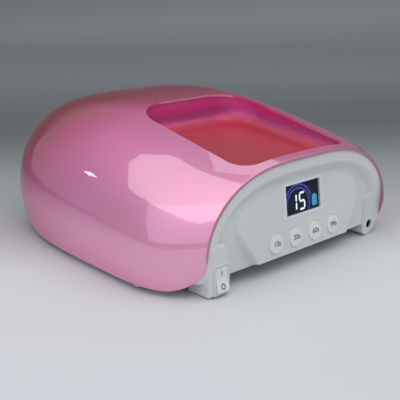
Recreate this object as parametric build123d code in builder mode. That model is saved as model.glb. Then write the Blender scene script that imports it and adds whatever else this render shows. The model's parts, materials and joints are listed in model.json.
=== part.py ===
from build123d import *
from math import cos, pi, radians, sin
import os

# Nail-curing lamp with a carrying handle, in millimetres.
# X runs across the lamp, -Y is the control side, +Y is the side the hand enters, +Z is up.
# The origin lies on the table, under the middle of the lamp's bounding box.

os.makedirs("parts", exist_ok=True)

# Hood: the pillow-shaped outer form, given by its plan, its side view and its cross-section
case_depth = 216.0
widest_half_width = 117.5
rear_narrowing = 24.5
front_narrowing = 25.5
widest_from_rear = 70.0
rear_rounding = 3.2
front_rounding = 3.9
rear_height = 76.5
crown_height = 103.0
front_height = 94.0
crown_from_rear = 158.0
belt_rear_z = 26.0
belt_front_z = 34.0
side_tuck = 2.0
rear_tuck = 14.0
front_tuck = 6.0
shoulder_in = 0.92
shoulder_up = 0.46
crown_in = 0.68
crown_up = 0.83
hood_stations = 11
hood_bottom_z = 4.5
heel_run = 21.0
heel_rise = 24.0
heel_bulge = 0.31
shell_wall = 1.8
shell_edge_round = 0.7
fit_gap = 0.25
overshoot = 5.0  # how far a cutting form runs past what it cuts

# Handle recess: a rounded mouth in the top, and the tub hung under it
mouth_half_width = 54.0
mouth_rear = 7.5
mouth_front = 119.0
mouth_rear_corner = 15.0
mouth_front_corner = 26.0
tub_slit = 1.2
tub_wall = 1.8
tub_rear_floor_z = 64.0
tub_front_floor_z = 78.0
tub_floor_round = 13.0

# Rear panel: rim band, leaning control field and two legs
panel_wall = 1.8
panel_setback = 0.7
panel_depth = 17.0
rim_band = 6.5
recess_depth = 5.2
field_lean = 6.5
field_bottom_z = 12.0
field_proud = 0.7
recess_spread = 6.5
valley_width = 12.0
valley_bottom_z = 10.0
field_foot_inset = 16.5
field_hip_z = 36.0
field_shoulder_inset = 5.0
field_shoulder_z = 50.0
field_top_inset = 28.5
field_top_z = 60.0
field_corner = 14.0
field_spread = 6.5
field_root = 1.3
field_room_inset = 1.0
soft_stations = 6
leg_side_gap = 2.8
leg_width = 16.7
leg_top_z = 34.0
leg_top_round = 6.5
leg_edge_round = 2.2
leg_depth = 19.0
left_leg_front = 0.0
right_leg_front = 4.5
leg_clear_z = 0.8
leg_round = 5.0
right_leg_round = 11.0
right_leg_blend_z = 50.0
right_leg_flat_z = 13.0
right_leg_relief_inset = 3.5

# Display, on the leaning field; heights are measured up the field from its bottom edge
display_up = 35.3
window_width = 35.5
window_height = 20.5
frame_border = 2.2
frame_depth = 3.2
frame_proud = 0.3
frame_chamfer = 0.27
window_thickness = 1.2
window_inset = 0.3

# Time buttons and the switches behind them
button_count = 4
button_pitch = 20.0
button_up = 9.6
button_radius = 6.5
button_gap = 0.15
button_proud = 0.9
button_dome = 0.5
button_edge_round = 0.5
button_flange = 1.1
button_flange_rim = 0.7
button_stem_radius = 2.2
button_travel = 0.8
switch_side = 6.0
switch_height = 3.0
plunger_radius = 1.6
plunger_length = 2.6
running_gap = 0.05

# Control board behind the field
board_depth = 8.6
board_width = 96.0
board_bottom_up = 4.5
board_top_up = 47.0
board_thickness = 1.6
board_boss_radius = 3.0
board_boss_x = 42.0
board_boss_lower_up = 9.0
board_boss_upper_up = 42.0
board_screw_radius = 1.1
board_screw_head_radius = 2.3
board_screw_head_height = 1.4
board_screw_length = 7.0
board_boss_root = 0.3
screw_tip_gap = 0.2

# Power rocker on the left leg
rocker_from_inner = 7.1
rocker_z = 11.6
rocker_bezel_width = 13.4
rocker_bezel_height = 20.0
rocker_bezel_proud = 0.9
rocker_bezel_corner = 1.0
rocker_bezel_round = 0.4
rocker_border = 1.5
rocker_end_border = 1.3
rocker_side_wall = 1.0
rocker_end_wall = 0.7
rocker_body_depth = 14.0
rocker_swing = 18.0
rocker_pivot_depth = 1.0
rocker_pivot_radius = 1.2
rocker_pivot_length = 0.7
rocker_side_gap = 0.3
rocker_end_gap = 0.3
rocker_face_inset = 0.2
rocker_keel = 3.5
rocker_keel_half = 3.0
rocker_keel_gap = 0.6
terminal_thickness = 0.8
terminal_width = 4.8
terminal_length = 7.0
terminal_pitch = 6.0

# Power inlet on the right leg
inlet_from_inner = 8.5
inlet_z = 8.5
inlet_radius = 5.0
inlet_hole_radius = 3.5
inlet_cover = 1.6
inlet_bore_radius = 3.2
inlet_length = 11.5
inlet_bore_depth = 9.5
inlet_pin_radius = 1.0
inlet_pin_length = 7.4

# Curing tunnel: the reflector the hand lies in
side_bay = 35.5
tunnel_wall_z = 27.0
tunnel_slope_run = 28.0
tunnel_height = 54.0
tunnel_corner = 7.0
tunnel_rear = 40.0
front_inset = 10.0
tunnel_sheet = 1.6
tunnel_flange = 4.0

# Curing diodes and their boards
led_radius = 2.8
led_hole_radius = 3.3
led_height = 2.6
led_lens_chamfer = 0.7
led_board_thickness = 1.6
led_board_end_gap = 17.0
top_board_width = 88.0
side_board_width = 26.0
top_led_columns = 4
top_led_rows = 5
top_led_column_pitch = 22.0
side_led_rows = 4

# Hand sensor in the tunnel's ceiling, near its mouth
sensor_behind_frame = 7.0
sensor_pitch = 9.0
sensor_lens_radius = 1.5
sensor_board_length = 18.0
sensor_board_width = 8.0

# Front frame round the hand opening
frame_sheet = 2.5
opening_lip = 3.0
opening_lip_depth = 3.5

# Base frame, feet and fasteners
rail_sheet = 2.4
deck_sheet = 2.0
front_foot_from_front = 30.0
front_foot_radius = 5.5
rear_foot_from_rear = 12.0
rear_foot_radius = 4.5
foot_sink = 1.0
foot_round = 0.6
rail_post_radius = 2.5
screw_radius = 1.5
screw_head_radius = 2.9
screw_head_height = 1.8
screw_length = 12.0
boss_radius = 3.6
boss_height = 20.0
boss_rib = 1.6
boss_bite = 1.0
rear_boss_from_rear = 44.0
front_boss_from_front = 48.0

# Battery: two cells at each side, between the tunnel and the hood
cell_radius = 9.25
cell_length = 65.0
cell_rear = 52.0
lower_cell_shift = 3.2
upper_cell_shift = 0.2
cell_gap = 0.6
cell_end_chamfer = 0.8
holder_sheet = 1.5
holder_width = 19.6
holder_height = 38.0

# Driver board on the rear deck
driver_board_width = 104.0
driver_board_length = 18.0
driver_board_height = 3.0
driver_from_rear = 29.5
coil_count = 3
coil_radius = 5.0
coil_height = 6.5

# The rocker's outline about its pivot, and how far its raised end stands out behind the hood
rocker_cavity_width = rocker_bezel_width - 2 * rocker_border
rocker_cavity_height = rocker_bezel_height - 2 * rocker_end_border
rocker_reach = rocker_cavity_height / 2 - rocker_end_gap
rocker_half_swing = radians(rocker_swing / 2)
rocker_face = rocker_pivot_depth + rocker_bezel_proud - rocker_face_inset
rocker_tip_out = rocker_face + rocker_reach * sin(rocker_half_swing)
rocker_tip_up = (rocker_reach ** 2 - rocker_tip_out ** 2) ** 0.5
rocker_stand = (
    rocker_tip_out * cos(rocker_half_swing)
    + rocker_tip_up * sin(rocker_half_swing)
    - rocker_pivot_depth
    - left_leg_front
)

# Sizes that follow from the hood's
rear_half_width = widest_half_width - rear_narrowing
front_half_width = widest_half_width - front_narrowing
leg_outer = rear_half_width - leg_side_gap
leg_inner = leg_outer - leg_width
field_half_hip = leg_inner - valley_width
field_half_foot = field_half_hip - field_foot_inset
field_half_shoulder = field_half_hip - field_shoulder_inset
field_half_top = field_half_hip - field_top_inset
rocker_x = -leg_inner - rocker_from_inner
inlet_x = leg_inner + inlet_from_inner
tunnel_half_width = widest_half_width - side_bay
tunnel_top_half = tunnel_half_width - tunnel_slope_run
tunnel_front = case_depth - front_inset
led_board_length = tunnel_front - tunnel_rear - 2 * led_board_end_gap
led_row_pitch = led_board_length / top_led_rows
sensor_from_rear = tunnel_front - sensor_behind_frame
front_foot_from_rear = case_depth - front_foot_from_front
boss_stations = (rear_boss_from_rear, case_depth - front_boss_from_front)
cell_bay_x = tunnel_half_width + tunnel_flange + fit_gap + cell_radius
lower_cell_x = cell_bay_x + lower_cell_shift
upper_cell_x = cell_bay_x + upper_cell_shift

# Worked-out places; the lamp is centred over the origin from the rocker's tip to the front edge
rear_y = (rocker_stand - case_depth) / 2
front_y = rear_y + case_depth
rail_top_z = hood_bottom_z + rail_sheet
panel_face_y = rear_y + panel_setback
recess_y = rear_y + recess_depth
recess_back_y = recess_y + panel_wall
field_origin = (0, rear_y - field_proud, field_bottom_z)
lean = radians(field_lean)
field = Plane(origin=field_origin, x_dir=(1, 0, 0), z_dir=(0, -cos(lean), sin(lean)))


def upright(y):
    """The plane across the lamp at y, seen from the control side: X to the right, Z up."""
    return Plane.XZ.offset(-y)


def into_field(depth):
    """The plane parallel to the control field, a depth behind its face."""
    return field.offset(-depth)


def half_width_at(d):
    """Half the hood's greatest width, a distance d from the rear edge."""
    if d < widest_from_rear:
        share = (1 - d / widest_from_rear) ** rear_rounding
        return widest_half_width - (widest_half_width - rear_half_width) * share
    share = ((d - widest_from_rear) / (case_depth - widest_from_rear)) ** front_rounding
    return widest_half_width - (widest_half_width - front_half_width) * share


def crown_at(d):
    """Height of the hood's ridge, a distance d from the rear edge."""
    if d < crown_from_rear:
        t = d / crown_from_rear
        rise = (sin(pi * t / 2) + (1 - cos(pi * t)) / 2) / 2
        return rear_height + (crown_height - rear_height) * rise
    t = (d - crown_from_rear) / (case_depth - crown_from_rear)
    return crown_height - (crown_height - front_height) * t ** 2


def belt_at(d):
    """Height at which the hood is widest."""
    return belt_rear_z + (belt_front_z - belt_rear_z) * d / case_depth


def tuck_at(d):
    """How far the hood's bottom edge lies inside its widest line."""
    tuck = side_tuck + (front_tuck - side_tuck) * (d / case_depth) ** 2
    if d < widest_from_rear:
        tuck += (rear_tuck - side_tuck) * (1 - d / widest_from_rear) ** (2.5 * rear_rounding)
    return tuck


def foot_half_width_at(d):
    """Half the hood's width at its bottom edge."""
    return half_width_at(d) - tuck_at(d)


def arch(d, inset, y=None, drop=0.0):
    """The hood's cross-section a distance d from the rear edge, as a face at y."""
    wide = half_width_at(d) - inset
    foot = foot_half_width_at(d) - inset
    top = crown_at(d) - inset
    belt = belt_at(d)
    rise = top - belt
    right = [
        (foot, hood_bottom_z),
        (wide, belt),
        (wide * shoulder_in, belt + rise * shoulder_up),
        (wide * crown_in, belt + rise * crown_up),
    ]
    left = [(-x, z) for x, z in reversed(right)]
    with BuildSketch(upright(rear_y + d if y is None else y)) as face:
        with BuildLine():
            Spline(right + [(0, top)] + left)
            if drop:
                Polyline(
                    (-foot, hood_bottom_z),
                    (-foot, hood_bottom_z - drop),
                    (foot, hood_bottom_z - drop),
                    (foot, hood_bottom_z),
                )
            else:
                Line((-foot, hood_bottom_z), (foot, hood_bottom_z))
        make_face()
    return face.sketch


def hood(inset, drop=0.0):
    """The hood's form, smaller all round by inset and reaching down past its edge by drop."""
    with BuildPart() as body:
        for i in range(hood_stations):
            d = case_depth * (1 - cos(pi * i / (hood_stations - 1))) / 2
            add(arch(d, inset, drop=drop))
        loft()
    return body.part


def block(x0, x1, y0, y1, z0, z1, mode=Mode.ADD):
    """A block between two corners, for walls and for clipping."""
    with Locations(((x0 + x1) / 2, (y0 + y1) / 2, (z0 + z1) / 2)):
        return Box(x1 - x0, y1 - y0, z1 - z0, mode=mode)


# The forms that several pieces share
hood_outer = hood(0)
hood_inner = hood(shell_wall, drop=overshoot)
fit_space = hood(shell_wall + fit_gap)
lamp_span = 2 * (widest_half_width + overshoot)
mouth_length = mouth_front - mouth_rear
mouth_y = rear_y + (mouth_rear + mouth_front) / 2


def mouth_outline(grow, z):
    """The handle mouth's outline as a face at height z, wider all round by grow."""
    with BuildSketch(Plane.XY.offset(z)) as outline:
        with Locations((0, mouth_y)):
            Rectangle(2 * (mouth_half_width + grow), mouth_length + 2 * grow)
        fillet(outline.vertices().group_by(Axis.Y)[0], mouth_rear_corner + grow)
        fillet(outline.vertices().group_by(Axis.Y)[-1], mouth_front_corner + grow)
    return outline.sketch


def save(piece, name):
    """Label a finished piece and write it."""
    piece.part.label = name
    export_step(piece.part, f"parts/{name}.step")


boss_spots = [
    (side * (foot_half_width_at(d) - shell_wall - boss_radius + boss_bite), rear_y + d)
    for d in boss_stations
    for side in (-1, 1)
]

# Outer shell: hood skin, heel curves, handle mouth and screw bosses
with BuildPart() as bosses:
    for x, y in boss_spots:
        with BuildSketch(Plane.XY.offset(rail_top_z + fit_gap)):
            with Locations((x, y)):
                Circle(boss_radius)
            with Locations((x + boss_radius * (1 if x > 0 else -1), y)):
                Rectangle(3 * boss_radius, boss_rib)
        extrude(amount=boss_height)
    add(hood_outer, mode=Mode.INTERSECT)
    with BuildSketch(Plane.XY.offset(rail_top_z)):
        with Locations(*boss_spots):
            Circle(screw_radius + running_gap)
    extrude(amount=screw_length, mode=Mode.SUBTRACT)

with BuildPart() as heel_cut:
    with BuildSketch(Plane.YZ):
        with BuildLine():
            Polyline(
                (rear_y, hood_bottom_z + heel_rise),
                (rear_y - overshoot, hood_bottom_z + heel_rise),
                (rear_y - overshoot, hood_bottom_z - overshoot),
                (rear_y + heel_run, hood_bottom_z - overshoot),
                (rear_y + heel_run, hood_bottom_z),
            )
            ThreePointArc(
                (rear_y + heel_run, hood_bottom_z),
                (rear_y + heel_run * heel_bulge, hood_bottom_z + heel_rise * heel_bulge),
                (rear_y, hood_bottom_z + heel_rise),
            )
        make_face()
    extrude(amount=lamp_span / 2, both=True)

with BuildPart() as outer_shell:
    add(hood_outer)
    add(heel_cut.part, mode=Mode.SUBTRACT)
    rear_rim = outer_shell.faces().sort_by(Axis.Y)[0].edges().sort_by(SortBy.LENGTH)[-1]
    fillet(rear_rim, shell_edge_round)
    extrude(mouth_outline(0, rear_height / 2), amount=crown_height, mode=Mode.SUBTRACT)
    add(hood_inner, mode=Mode.SUBTRACT)
    add(bosses.part)
save(outer_shell, "outer_shell")

# Handle tub: a rounded well with a sloping floor, its rim just under the shell
def tub_well(grow, sink, floor_round):
    """The tub's well, wider all round by grow and deeper by sink."""
    slope = (tub_front_floor_z - tub_rear_floor_z) / mouth_length
    floor = Plane(
        origin=(0, rear_y + mouth_rear, tub_rear_floor_z - sink),
        x_dir=(1, 0, 0),
        z_dir=(0, -slope, 1),
    )
    with BuildPart() as well:
        extrude(mouth_outline(grow, tub_rear_floor_z - 4 * tub_wall), amount=crown_height)
        split(bisect_by=floor, keep=Keep.TOP)
        fillet(well.faces().sort_by(Axis.Z)[0].edges(), floor_round)
    return well.part


tub_skin = tub_wall + fit_gap
tub_room = tub_well(tub_slit + tub_skin, tub_skin, tub_floor_round + tub_skin)

with BuildPart() as handle_tub:
    add(tub_well(tub_slit + tub_wall, tub_wall, tub_floor_round + tub_wall))
    add(tub_well(tub_slit, 0, tub_floor_round), mode=Mode.SUBTRACT)
    add(fit_space, mode=Mode.INTERSECT)
save(handle_tub, "handle_tub")


# Rear panel: rim band in the hood's arch, leaning control field, legs for the rocker and the inlet
def soft_edge():
    """Steps along an S-curve, each as its share of the run and of the depth."""
    shares = [i / (soft_stations - 1) for i in range(soft_stations)]
    return [(share, (1 - cos(pi * share)) / 2) for share in shares]


def field_outline(grow, plane):
    """The control field's outline as a face on a plane, wider all round by grow."""
    right = [
        (field_half_foot, 0),
        (field_half_hip, field_hip_z - field_bottom_z),
        (field_half_shoulder, field_shoulder_z - field_bottom_z),
        (field_half_top, field_top_z - field_bottom_z),
    ]
    left = [(-x, up) for x, up in reversed(right)]
    below = -field_bottom_z - overshoot
    with BuildSketch(plane) as outline:
        with BuildLine():
            Polyline(
                [(field_half_foot, below)] + right + left + [(-field_half_foot, below)], close=True
            )
        make_face()
        fillet(vertices().filter_by(lambda v: v.Y > below + overshoot), field_corner)
        offset(amount=grow)
    return outline.sketch


with BuildPart() as recess:
    for run, sunk in soft_edge():
        inset = shell_wall + fit_gap + rim_band + recess_spread * run
        add(arch(panel_setback, inset, panel_face_y + (recess_y - panel_face_y) * sunk))
    loft()

with BuildPart() as field_form:
    for run, sunk in soft_edge():
        tilt = lean * (1 - sunk)
        y = rear_y - field_proud + (recess_depth + field_proud + field_root) * sunk
        slice_plane = Plane(
            origin=(0, y, field_bottom_z), x_dir=(1, 0, 0), z_dir=(0, -cos(tilt), sin(tilt))
        )
        add(field_outline(field_spread * run, slice_plane))
    loft()
    block(
        -lamp_span / 2, lamp_span / 2, rear_y - overshoot, rear_y + panel_depth,
        field_bottom_z, case_depth, mode=Mode.INTERSECT,
    )

with BuildPart() as field_room:
    extrude(field_outline(-field_room_inset, into_field(panel_wall)), amount=-panel_depth)
    block(
        -lamp_span / 2, lamp_span / 2, rear_y - overshoot, recess_back_y + running_gap,
        field_bottom_z + panel_wall, case_depth, mode=Mode.INTERSECT,
    )

with BuildPart() as right_leg_relief:
    with BuildSketch(Plane.YZ.offset(leg_inner - right_leg_relief_inset)):
        with BuildLine():
            Polyline(
                (panel_face_y, right_leg_blend_z),
                (rear_y - overshoot, right_leg_blend_z),
                (rear_y - overshoot, -overshoot),
                (rear_y + right_leg_front, -overshoot),
                (rear_y + right_leg_front, right_leg_flat_z),
            )
            Spline(
                (rear_y + right_leg_front, right_leg_flat_z),
                (panel_face_y, right_leg_blend_z),
                tangents=((0, 1), (0, 1)),
            )
        make_face()
    extrude(amount=lamp_span)


def leg(side, outer_round):
    """One leg of the panel: side -1 carries the rocker, side 1 the power inlet."""
    with BuildPart() as post:
        with BuildSketch(upright(rear_y + leg_depth)) as foot:
            with Locations((side * (leg_inner + leg_outer) / 2, (leg_clear_z + leg_top_z) / 2)):
                Rectangle(leg_outer - leg_inner, leg_top_z - leg_clear_z)
            low = foot.vertices().group_by(Axis.Y)[0]
            fillet(low.sort_by(lambda v: abs(v.X))[0], leg_round)
            outer = foot.vertices().filter_by(lambda v: abs(abs(v.X) - leg_outer) < running_gap)
            fillet(outer.sort_by(Axis.Y)[0], outer_round)
            high = foot.vertices().group_by(Axis.Y)[-1]
            fillet(high.sort_by(lambda v: abs(v.X))[0], leg_top_round)
        extrude(amount=leg_depth - left_leg_front)
        corners = post.edges().filter_by(Axis.Z).filter_by(lambda e: abs(e.center().X) > inlet_x)
        fillet(corners.sort_by(Axis.Y)[0], leg_edge_round)
    return post.part


left_leg = leg(-1, leg_clear_z)
right_leg = leg(1, right_leg_round)

# What the controls need cut through the panel
frame_width = window_width + 2 * frame_border
frame_height = window_height + 2 * frame_border
button_spots = [
    ((i - (button_count - 1) / 2) * button_pitch, button_up) for i in range(button_count)
]
board_boss_spots = [
    (side * board_boss_x, up)
    for side in (-1, 1)
    for up in (board_boss_lower_up, board_boss_upper_up)
]
rocker_face_y = rear_y + left_leg_front
rocker_body_width = rocker_bezel_width - 2 * rocker_border + 2 * rocker_side_wall
rocker_body_height = rocker_bezel_height - 2 * rocker_end_border + 2 * rocker_end_wall
inlet_face_y = rear_y + right_leg_front
rear_foot_x = (leg_inner + leg_outer) / 2
rear_foot_y = rear_y + rear_foot_from_rear

with BuildPart() as panel_cavity:
    add(hood(shell_wall + fit_gap + panel_wall))
    block(
        -lamp_span / 2, lamp_span / 2, recess_back_y, rear_y + 2 * panel_depth,
        0, case_depth, mode=Mode.INTERSECT,
    )

with BuildPart() as rear_panel:
    add(fit_space)
    block(
        -lamp_span / 2, lamp_span / 2, panel_face_y, rear_y + panel_depth,
        valley_bottom_z, case_depth, mode=Mode.INTERSECT,
    )
    add(recess.part, mode=Mode.SUBTRACT)
    add(field_form.part)
    add(panel_cavity.part, mode=Mode.SUBTRACT)
    add(field_room.part, mode=Mode.SUBTRACT)
    add(left_leg)
    add(right_leg)
    add(right_leg_relief.part, mode=Mode.SUBTRACT)
    # display and button openings, straight through the leaning field
    with BuildSketch(into_field(board_depth)):
        with Locations((0, display_up)):
            Rectangle(frame_width + 2 * running_gap, frame_height + 2 * running_gap)
        with Locations(*button_spots):
            Circle(button_radius + button_gap)
    extrude(amount=board_depth + field_proud + overshoot, mode=Mode.SUBTRACT)
    # bosses that hold the control board
    with BuildSketch(into_field(board_depth)):
        with Locations(*board_boss_spots):
            Circle(board_boss_radius)
    extrude(amount=board_depth - panel_wall + board_boss_root)
    with BuildSketch(into_field(board_depth)):
        with Locations(*board_boss_spots):
            Circle(board_screw_radius + running_gap)
    extrude(amount=board_screw_length - board_thickness + screw_tip_gap, mode=Mode.SUBTRACT)
    # pocket for the rocker, through the left leg
    with BuildSketch(upright(rocker_face_y)):
        with Locations((rocker_x, rocker_z)):
            Rectangle(rocker_body_width + 2 * running_gap, rocker_body_height + 2 * running_gap)
    extrude(amount=-2 * leg_depth, mode=Mode.SUBTRACT)
    # hole and pocket for the power inlet, in the right leg
    with BuildSketch(upright(inlet_face_y)):
        with Locations((inlet_x, inlet_z)):
            Circle(inlet_hole_radius)
    extrude(amount=-leg_depth, mode=Mode.SUBTRACT)
    with BuildSketch(upright(inlet_face_y + inlet_cover)):
        with Locations((inlet_x, inlet_z)):
            Circle(inlet_radius + running_gap)
    extrude(amount=-2 * leg_depth, mode=Mode.SUBTRACT)
    # seats for the rear feet
    with BuildSketch(Plane.XY.offset(leg_clear_z)):
        with Locations((rear_foot_x, rear_foot_y), (-rear_foot_x, rear_foot_y)):
            Circle(rear_foot_radius + running_gap)
    extrude(amount=foot_sink, mode=Mode.SUBTRACT)
    # room for the handle tub above the panel's flange
    add(tub_room, mode=Mode.SUBTRACT)
save(rear_panel, "rear_panel")


# Display: bright border, clear window and the display module on the control board
with BuildPart() as display_frame:
    with BuildSketch(into_field(frame_depth)):
        with Locations((0, display_up)):
            Rectangle(frame_width, frame_height)
            Rectangle(window_width, window_height, mode=Mode.SUBTRACT)
    extrude(amount=frame_depth + frame_proud)
    face_edges = display_frame.faces().sort_by(Axis((0, 0, 0), field.z_dir))[-1].outer_wire()
    chamfer(face_edges.edges(), frame_chamfer)
save(display_frame, "display_frame")

with BuildPart() as display_window:
    with BuildSketch(into_field(window_inset + window_thickness)):
        with Locations((0, display_up)):
            Rectangle(window_width - 2 * running_gap, window_height - 2 * running_gap)
    extrude(amount=window_thickness)
save(display_window, "display_window")

with BuildPart() as lcd_module:
    with BuildSketch(into_field(board_depth)):
        with Locations((0, display_up)):
            Rectangle(frame_width - 2 * running_gap, frame_height - 2 * running_gap)
    extrude(amount=board_depth - frame_depth - running_gap)
    with BuildSketch(into_field(frame_depth + running_gap)):
        with Locations((0, display_up)):
            Rectangle(window_width - 4 * running_gap, window_height - 4 * running_gap)
    extrude(amount=frame_depth - window_inset - window_thickness - 2 * running_gap)
save(lcd_module, "lcd_module")


# Time buttons, each on the plunger of its switch
switch_top = board_depth - switch_height
plunger_top = switch_top - plunger_length / 2
flange_face = panel_wall + button_gap

for i, (x, up) in enumerate(button_spots):
    centre = field.from_local_coords((x, up, 0))
    through = Plane(origin=centre, x_dir=(1, 0, 0), z_dir=-field.y_dir)
    with BuildPart() as time_button:
        with BuildSketch(through):
            with BuildLine():
                Polyline(
                    (0, button_proud + button_dome),
                    (0, -plunger_top),
                    (button_stem_radius, -plunger_top),
                    (button_stem_radius, -flange_face - button_flange),
                    (button_radius + button_flange_rim, -flange_face - button_flange),
                    (button_radius + button_flange_rim, -flange_face),
                    (button_radius, -flange_face),
                    (button_radius, button_proud),
                )
                TangentArc(
                    (0, button_proud + button_dome), (button_radius, button_proud), tangent=(1, 0)
                )
            make_face()
            rim = vertices().filter_by(lambda v: abs(v.X - button_radius) < running_gap)
            fillet(rim.sort_by(Axis.Y)[-1], button_edge_round)
        revolve(axis=Axis(centre, field.z_dir))
    save(time_button, f"time_button_{i + 1}")

    with BuildPart() as switch_plunger:
        with BuildSketch(into_field(plunger_top + plunger_length)):
            with Locations((x, up)):
                Circle(plunger_radius)
        extrude(amount=plunger_length)
    save(switch_plunger, f"switch_plunger_{i + 1}")

with BuildPart() as tact_switches:
    with BuildSketch(into_field(board_depth)):
        with Locations(*button_spots):
            Rectangle(switch_side, switch_side)
    extrude(amount=switch_height)
    with BuildSketch(into_field(switch_top)):
        with Locations(*button_spots):
            Circle(plunger_radius + running_gap)
    extrude(amount=-(plunger_length / 2 + button_travel + screw_tip_gap), mode=Mode.SUBTRACT)
save(tact_switches, "tact_switches")


# Control board and the screws that hold it to the panel's bosses
with BuildPart() as control_board:
    with BuildSketch(into_field(board_depth)):
        with Locations((0, (board_bottom_up + board_top_up) / 2)):
            Rectangle(board_width, board_top_up - board_bottom_up)
        with Locations(*board_boss_spots):
            Circle(board_screw_radius + 2 * running_gap, mode=Mode.SUBTRACT)
    extrude(amount=-board_thickness)
save(control_board, "control_board")

with BuildPart() as board_screws:
    with BuildSketch(into_field(board_depth + board_thickness)):
        with Locations(*board_boss_spots):
            Circle(board_screw_radius)
    extrude(amount=board_screw_length)
    with BuildSketch(into_field(board_depth + board_thickness)):
        with Locations(*board_boss_spots):
            Circle(board_screw_head_radius)
    extrude(amount=-board_screw_head_height)
save(board_screws, "board_screws")


# Power rocker: housing with its bezel, the rocker on its pivot, and the two blades behind
pivot = (rocker_x, rocker_face_y + rocker_pivot_depth, rocker_z)
rocker_keel_sweep = (rocker_keel ** 2 + rocker_keel_half ** 2) ** 0.5
rocker_cavity_depth = rocker_pivot_depth + rocker_keel_sweep + rocker_keel_gap

with BuildPart() as rocker_housing:
    with BuildSketch(upright(rocker_face_y)):
        with Locations((rocker_x, rocker_z)):
            RectangleRounded(rocker_bezel_width, rocker_bezel_height, rocker_bezel_corner)
    extrude(amount=rocker_bezel_proud)
    front = rocker_housing.faces().sort_by(Axis.Y)[0]
    fillet(front.edges(), rocker_bezel_round)
    with BuildSketch(upright(rocker_face_y)):
        with Locations((rocker_x, rocker_z)):
            Rectangle(rocker_body_width, rocker_body_height)
    extrude(amount=-rocker_body_depth)
    with BuildSketch(upright(rocker_face_y + rocker_cavity_depth)):
        with Locations((rocker_x, rocker_z)):
            Rectangle(rocker_cavity_width, rocker_cavity_height)
    extrude(amount=2 * rocker_cavity_depth, mode=Mode.SUBTRACT)
    with BuildSketch(Plane(origin=pivot, x_dir=(0, 1, 0), z_dir=(1, 0, 0))):
        Circle(rocker_pivot_radius + running_gap)
    extrude(
        amount=rocker_cavity_width / 2 + rocker_pivot_length - rocker_side_gap + screw_tip_gap,
        both=True,
        mode=Mode.SUBTRACT,
    )
save(rocker_housing, "rocker_housing")

rocker_plane = Plane(
    origin=pivot,
    x_dir=(0, cos(rocker_half_swing), -sin(rocker_half_swing)),
    z_dir=(1, 0, 0),
)
with BuildPart() as rocker_button:
    with BuildSketch(rocker_plane):
        with BuildLine():
            Polyline(
                (-rocker_tip_out, rocker_tip_up),
                (-rocker_face, 0),
                (-rocker_tip_out, -rocker_tip_up),
            )
            ThreePointArc(
                (-rocker_tip_out, -rocker_tip_up),
                (-rocker_tip_out / 2, -((rocker_reach ** 2 - rocker_tip_out ** 2 / 4) ** 0.5)),
                (0, -rocker_reach),
            )
            Polyline(
                (0, -rocker_reach),
                (rocker_keel, -rocker_keel_half),
                (rocker_keel, rocker_keel_half),
                (0, rocker_reach),
            )
            ThreePointArc(
                (0, rocker_reach),
                (-rocker_tip_out / 2, (rocker_reach ** 2 - rocker_tip_out ** 2 / 4) ** 0.5),
                (-rocker_tip_out, rocker_tip_up),
            )
        make_face()
    extrude(amount=rocker_cavity_width / 2 - rocker_side_gap, both=True)
    with BuildSketch(rocker_plane):
        Circle(rocker_pivot_radius)
    extrude(
        amount=rocker_cavity_width / 2 - rocker_side_gap + rocker_pivot_length, both=True
    )
save(rocker_button, "rocker_button")

with BuildPart() as rocker_terminals:
    with BuildSketch(upright(rocker_face_y + rocker_body_depth)):
        with Locations((rocker_x, rocker_z)):
            with GridLocations(0, terminal_pitch, 1, 2):
                Rectangle(terminal_width, terminal_thickness)
    extrude(amount=-terminal_length)
save(rocker_terminals, "rocker_terminals")


# Power inlet: barrel socket behind the right leg's face, and its centre pin
inlet_mouth_y = inlet_face_y + inlet_cover
with BuildPart() as dc_socket:
    with BuildSketch(upright(inlet_mouth_y)):
        with Locations((inlet_x, inlet_z)):
            Circle(inlet_radius)
    extrude(amount=-inlet_length)
    with BuildSketch(upright(inlet_mouth_y)):
        with Locations((inlet_x, inlet_z)):
            Circle(inlet_bore_radius)
    extrude(amount=-inlet_bore_depth, mode=Mode.SUBTRACT)
save(dc_socket, "dc_socket")

with BuildPart() as dc_pin:
    with BuildSketch(upright(inlet_mouth_y + inlet_bore_depth)):
        with Locations((inlet_x, inlet_z)):
            Circle(inlet_pin_radius)
    extrude(amount=inlet_pin_length)
    fillet(dc_pin.faces().sort_by(Axis.Y)[0].edges(), inlet_pin_radius / 2)
save(dc_pin, "dc_pin")


# Curing tunnel: reflector vault with its back wall, bottom flanges and diode holes
def tunnel_outline(grow, d):
    """The tunnel's arch as a face, wider all round by grow, a distance d from the rear edge."""
    right = [
        (tunnel_half_width, tunnel_wall_z),
        (tunnel_top_half, tunnel_height),
    ]
    left = [(-x, z) for x, z in reversed(right)]
    with BuildSketch(upright(rear_y + d)) as outline:
        with BuildLine():
            Polyline(
                [(tunnel_half_width, 0)] + right + left + [(-tunnel_half_width, 0)], close=True
            )
        make_face()
        fillet(outline.vertices().group_by(Axis.Y)[1:], tunnel_corner)
        if grow:
            offset(amount=grow, kind=Kind.INTERSECTION)
        with Locations((0, hood_bottom_z + tunnel_height)):
            Rectangle(lamp_span, 2 * tunnel_height, mode=Mode.INTERSECT)
    return outline.sketch


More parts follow.
